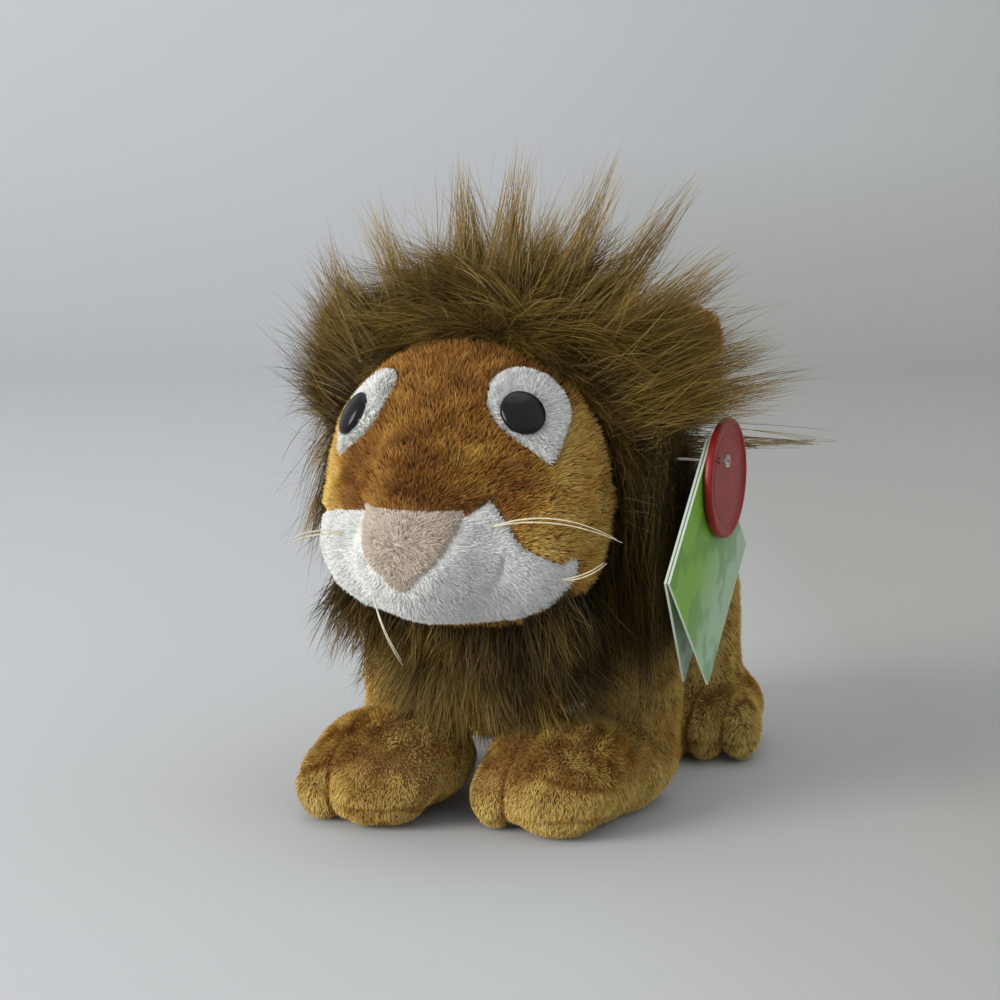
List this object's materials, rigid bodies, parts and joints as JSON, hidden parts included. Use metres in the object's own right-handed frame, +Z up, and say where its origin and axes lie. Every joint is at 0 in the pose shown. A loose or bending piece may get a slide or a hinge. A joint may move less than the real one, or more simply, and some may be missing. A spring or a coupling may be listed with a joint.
{
  "type": "plush lion",
  "caption": "Stuffed plush lion standing on big padded paws, with a long pile mane round a white muzzled face and a folded hang tag with a round disc.",
  "frame": {"origin": "centre of the bounding box on the floor under the paws", "axes": "+Z up; the lion faces -Y, so +Y runs from its nose to its tail; +X is the lion's left side"},
  "size_m": [0.1794, 0.2488, 0.2235],
  "materials": {
    "tan_plush": "short brushed pile",
    "white_plush": "short brushed pile",
    "pink_plush": "short brushed pile",
    "mane_fur": "long pile",
    "fibre": "loose fibre",
    "whisker": "single filament",
    "black_plastic": "polished",
    "white_plastic": "moulded",
    "green_card": "printed card, matt coated",
    "mint_card": "printed card, matt coated",
    "red_plastic": "moulded"
  },
  "bodies": {
    "torso": {"torso_skin": "tan_plush", "torso_stuffing": "fibre", "chest_ruff": "mane_fur"},
    "neck": {"neck_stuffing": "fibre"},
    "head": {"eye_patch_right": "white_plush", "eye_right": "black_plastic", "eye_washer_right": "white_plastic", "eye_patch_left": "white_plush", "eye_left": "black_plastic", "eye_washer_left": "white_plastic", "head_skin": "tan_plush", "muzzle_panel": "white_plush", "nose_panel": "pink_plush", "head_stuffing": "fibre", "mane_crown": "mane_fur", "mane_left": "mane_fur", "mane_right": "mane_fur", "mane_throat": "mane_fur", "whisker_left_upper": "whisker", "whisker_left_lower": "whisker", "whisker_right_upper": "whisker", "whisker_right_lower": "whisker", "tag_pin": "white_plastic"},
    "ear_left": {"ear_left": "tan_plush"},
    "ear_right": {"ear_right": "tan_plush"},
    "front_leg_left": {"front_leg_skin_left": "tan_plush", "front_leg_stuffing_left": "fibre"},
    "front_leg_right": {"front_leg_skin_right": "tan_plush", "front_leg_stuffing_right": "fibre"},
    "hind_leg_left": {"hind_leg_skin_left": "tan_plush", "hind_leg_stuffing_left": "fibre"},
    "hind_leg_right": {"hind_leg_skin_right": "tan_plush", "hind_leg_stuffing_right": "fibre"},
    "tail": {"tail": "tan_plush", "tail_tuft": "mane_fur"},
    "tag_front": {"tag_front_leaf": "green_card"},
    "tag_back": {"tag_back_leaf": "mint_card"},
    "disc": {"red_disc": "red_plastic"}
  },
  "joints": [
    {"name": "head_turn", "type": "hinge", "parent": "torso", "child": "neck", "pos_m": [-0.00336, -0.06184, 0.115], "axis": [0, 0, 1], "range_deg": [-10, 10], "stiffness_Nm_per_rad": 1.5},
    {"name": "head_nod", "type": "hinge", "parent": "neck", "child": "head", "pos_m": [-0.00336, -0.06184, 0.115], "axis": [1, 0, 0], "range_deg": [-8, 8], "stiffness_Nm_per_rad": 3},
    {"name": "ear_right_flop", "type": "hinge", "parent": "head", "child": "ear_right", "pos_m": [-0.04313, -0.04245, 0.14374], "axis": [0.5466, -0.1093, 0.8302], "range_deg": [-10, 10], "stiffness_Nm_per_rad": 0.03},
    {"name": "ear_left_flop", "type": "hinge", "parent": "head", "child": "ear_left", "pos_m": [0.03641, -0.04245, 0.14374], "axis": [0.5466, 0.1093, -0.8302], "range_deg": [-10, 10], "stiffness_Nm_per_rad": 0.03},
    {"name": "front_leg_right_swing", "type": "hinge", "parent": "torso", "child": "front_leg_right", "pos_m": [-0.02736, -0.01984, 0.057], "axis": [1, 0, 0], "range_deg": [-10, 10], "stiffness_Nm_per_rad": 3},
    {"name": "front_leg_left_swing", "type": "hinge", "parent": "torso", "child": "front_leg_left", "pos_m": [0.02064, -0.01984, 0.057], "axis": [1, 0, 0], "range_deg": [-10, 10], "stiffness_Nm_per_rad": 3},
    {"name": "hind_leg_right_swing", "type": "hinge", "parent": "torso", "child": "hind_leg_right", "pos_m": [-0.02636, 0.05816, 0.058], "axis": [1, 0, 0], "range_deg": [-10, 10], "stiffness_Nm_per_rad": 3},
    {"name": "hind_leg_left_swing", "type": "hinge", "parent": "torso", "child": "hind_leg_left", "pos_m": [0.01964, 0.05816, 0.058], "axis": [1, 0, 0], "range_deg": [-10, 10], "stiffness_Nm_per_rad": 3},
    {"name": "tail_swing", "type": "hinge", "parent": "torso", "child": "tail", "pos_m": [-0.00336, 0.08494, 0.08313], "axis": [0, 0, 1], "range_deg": [-25, 25], "stiffness_Nm_per_rad": 0.03},
    {"name": "tag_swing", "type": "hinge", "parent": "head", "child": "tag_front", "pos_m": [0.07264, -0.04484, 0.1235], "axis": [1, 0, 0], "range_deg": [-12, 12]},
    {"name": "tag_open", "type": "hinge", "parent": "tag_front", "child": "tag_back", "pos_m": [0.07264, -0.04484, 0.1305], "axis": [0, 0.7071, 0.7071], "range_deg": [-6, 2], "stiffness_Nm_per_rad": 0.002},
    {"name": "disc_swing", "type": "hinge", "parent": "tag_front", "child": "disc", "pos_m": [0.07264, -0.04484, 0.1235], "axis": [1, 0, 0], "range_deg": [-12, 12]}
  ]
}
